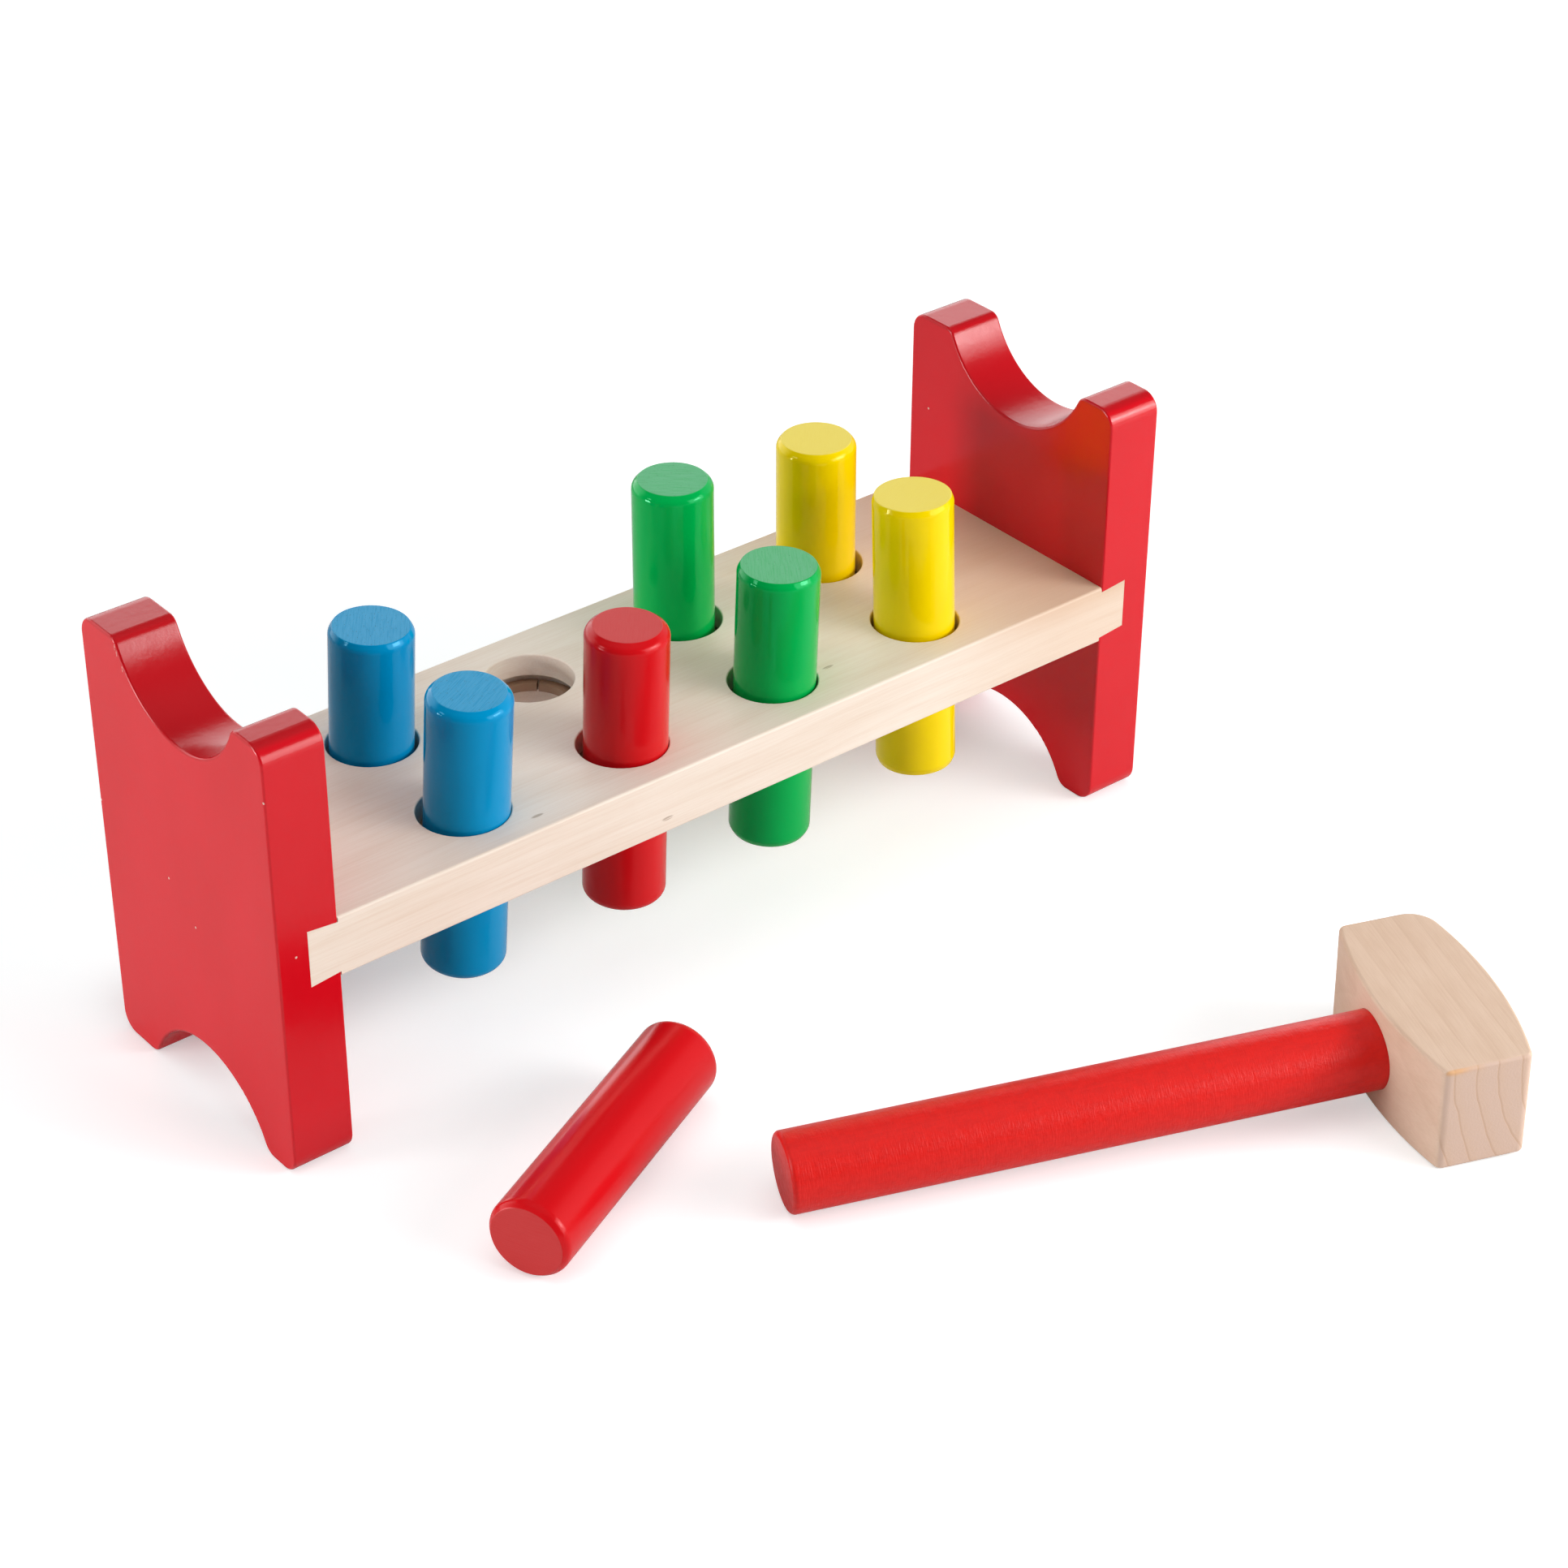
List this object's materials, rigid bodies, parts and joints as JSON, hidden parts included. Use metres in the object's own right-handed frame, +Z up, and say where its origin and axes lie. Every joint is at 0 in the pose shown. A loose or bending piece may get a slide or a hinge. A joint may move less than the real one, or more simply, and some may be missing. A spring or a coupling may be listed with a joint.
{
  "type": "peg pounding bench",
  "caption": "Wooden pounding bench toy: two scalloped end panels carry a deck of pegs that a mallet drives through split friction rings.",
  "frame": {"origin": "on the floor, in the middle of the whole set's footprint: the bench, the loose peg and the mallet", "axes": "+X runs along the bench to its right, +Y to its back, +Z up from the floor"},
  "size_m": [0.26, 0.2414, 0.1136],
  "materials": {
    "red_gloss_paint": "gloss red paint on wood",
    "pale_deck_wood": "clear satin finish on pale birch or maple",
    "tan_ring_plastic": "matt",
    "blue_peg_paint": "gloss blue paint on wood",
    "green_peg_paint": "gloss green paint on wood",
    "yellow_peg_paint": "gloss yellow paint on wood",
    "red_peg_paint": "gloss red paint on wood",
    "mallet_head_wood": "bare wood with a satin sheen",
    "orange_red_handle_paint": "satin orange-red stain on wood"
  },
  "bodies": {
    "bench": {"left_end_panel": "red_gloss_paint", "right_end_panel": "red_gloss_paint", "deck": "pale_deck_wood", "blue_back_ring": "tan_ring_plastic", "blue_front_ring": "tan_ring_plastic", "red_front_ring": "tan_ring_plastic", "green_back_ring": "tan_ring_plastic", "green_front_ring": "tan_ring_plastic", "yellow_back_ring": "tan_ring_plastic", "yellow_front_ring": "tan_ring_plastic", "empty_hole_ring": "tan_ring_plastic"},
    "blue_back_peg": {"blue_back_peg": "blue_peg_paint"},
    "blue_front_peg": {"blue_front_peg": "blue_peg_paint"},
    "red_front_peg": {"red_front_peg": "red_peg_paint"},
    "green_back_peg": {"green_back_peg": "green_peg_paint"},
    "green_front_peg": {"green_front_peg": "green_peg_paint"},
    "yellow_back_peg": {"yellow_back_peg": "yellow_peg_paint"},
    "yellow_front_peg": {"yellow_front_peg": "yellow_peg_paint"},
    "loose_peg": {"loose_red_peg": "red_peg_paint"},
    "mallet": {"mallet_head": "mallet_head_wood", "mallet_handle": "orange_red_handle_paint"}
  },
  "joints": [
    {"name": "blue_back_peg_drive", "type": "slide", "parent": "bench", "child": "blue_back_peg", "axis": [0.039, -0.0324, 0.9987], "range_m": [-0.02116, 0.01696]},
    {"name": "blue_front_peg_drive", "type": "slide", "parent": "bench", "child": "blue_front_peg", "axis": [0.0324, -0.0582, 0.9978], "range_m": [-0.02185, 0.01617]},
    {"name": "red_front_peg_drive", "type": "slide", "parent": "bench", "child": "red_front_peg", "axis": [0.0216, -0.018, 0.9996], "range_m": [-0.02171, 0.01678]},
    {"name": "green_back_peg_drive", "type": "slide", "parent": "bench", "child": "green_back_peg", "axis": [-0.0012, 0.0012, 1], "range_m": [-0.02889, 0.00999]},
    {"name": "green_front_peg_drive", "type": "slide", "parent": "bench", "child": "green_front_peg", "axis": [0.0222, -0.0186, 0.9996], "range_m": [-0.02137, 0.01704]},
    {"name": "yellow_back_peg_drive", "type": "slide", "parent": "bench", "child": "yellow_back_peg", "axis": [-0.0036, 0.003, 1], "range_m": [-0.02496, 0.01386]},
    {"name": "yellow_front_peg_drive", "type": "slide", "parent": "bench", "child": "yellow_front_peg", "axis": [-0.0108, 0.039, 0.9992], "range_m": [-0.0242, 0.01403]},
    {"name": "loose_peg_lift", "type": "slide", "parent": "bench", "child": "loose_peg", "axis": [0, 0, 1], "range_m": [0, 0.15]},
    {"name": "mallet_lift", "type": "slide", "parent": "bench", "child": "mallet", "axis": [0, 0, 1], "range_m": [0, 0.15]}
  ]
}
